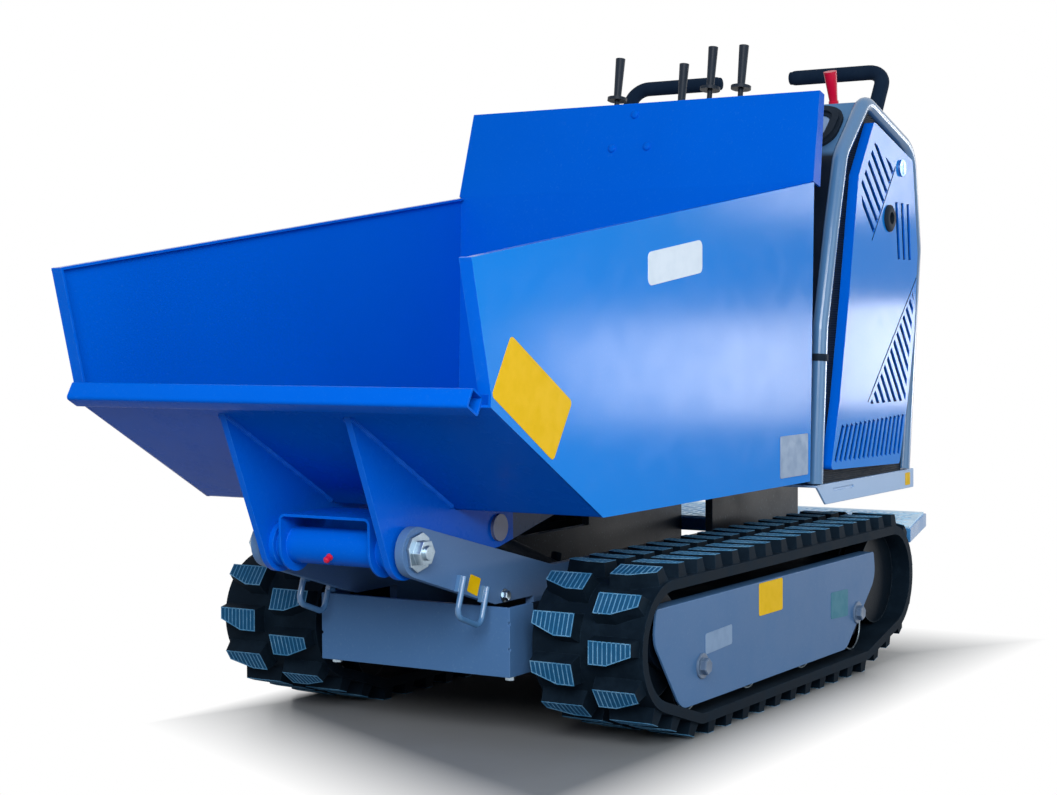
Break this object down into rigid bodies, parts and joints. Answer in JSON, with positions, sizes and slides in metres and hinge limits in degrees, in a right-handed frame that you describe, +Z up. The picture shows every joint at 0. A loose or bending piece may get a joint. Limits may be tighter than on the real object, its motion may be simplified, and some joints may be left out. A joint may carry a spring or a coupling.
{
  "type": "tracked mini dumper",
  "caption": "Compact dumper on rubber tracks with a forward-tipping steel skip, an engine hood with side grilles, control levers and a rear step platform.",
  "frame": {"origin": "ground level under the middle of the machine's overall box", "axes": "+X forward, the way the skip tips; +Y to the left; +Z up"},
  "size_m": [1.766, 0.75, 1.1317],
  "materials": {
    "skip_paint": "satin blue enamel",
    "grey_paint": "blue-grey enamel",
    "dark_paint": "matt dark enamel",
    "rubber": "matt moulded rubber",
    "black_plastic": "grained black plastic",
    "red_plastic": "gloss red knob",
    "bare_steel": "zinc plated steel",
    "tread_steel": "raised tread plate",
    "cast": "rough cast and machined",
    "rod_chrome": "ground chrome"
  },
  "bodies": {
    "chassis": {"main_frame": "dark_paint", "frame_arms": "grey_paint", "front_cover": "grey_paint", "tie_down_rings": "grey_paint", "pivot_pin": "bare_steel", "track_left": "rubber", "track_right": "rubber", "track_frames": "dark_paint", "track_covers": "grey_paint", "sprockets": "cast", "idlers": "cast", "rollers": "cast", "drive_motors": "cast", "engine_deck": "grey_paint", "hood_frame_left": "grey_paint", "hood_frame_right": "grey_paint", "side_panel_left": "skip_paint", "side_panel_right": "skip_paint", "panel_seals": "rubber", "panel_locks": "bare_steel", "panel_grommets": "rubber", "hood_front_panel": "dark_paint", "hood_bezel": "rubber", "dash_plate": "grey_paint", "hood_rear_panel": "skip_paint", "console": "black_plastic", "engine_block": "cast", "handlebars": "black_plastic", "control_levers": "black_plastic", "throttle_lever": "red_plastic", "rear_platform": "skip_paint", "platform_tread": "tread_steel", "cylinder_base_pin": "bare_steel"},
    "skip": {"skip_floor": "skip_paint", "skip_side_left": "skip_paint", "skip_side_right": "skip_paint", "skip_back": "skip_paint", "lip_tube": "skip_paint", "hinge_gussets": "skip_paint", "hinge_bracket": "skip_paint", "cylinder_pins": "bare_steel"},
    "barrel": {"cylinder_barrel": "dark_paint"},
    "rod": {"cylinder_rod": "rod_chrome"}
  },
  "joints": [
    {"name": "skip_tip", "type": "hinge", "parent": "chassis", "child": "skip", "pos_m": [0.686, 0, 0.298], "axis": [0, 1, 0], "range_deg": [0, 80]},
    {"name": "barrel_swing", "type": "hinge", "parent": "chassis", "child": "barrel", "pos_m": [0.056, 0, 0.17], "axis": [0, 1, 0], "range_deg": [-15, 2]},
    {"name": "rod_stroke", "type": "slide", "parent": "barrel", "child": "rod", "axis": [0.9423, 0, 0.3348], "range_m": [0, 0.2856]}
  ],
  "couplings": [
    {"joint": "barrel_swing", "follows": "skip_tip", "ratio": -0.14427},
    {"joint": "rod_stroke", "follows": "skip_tip", "m_per_rad": 0.2031}
  ]
}
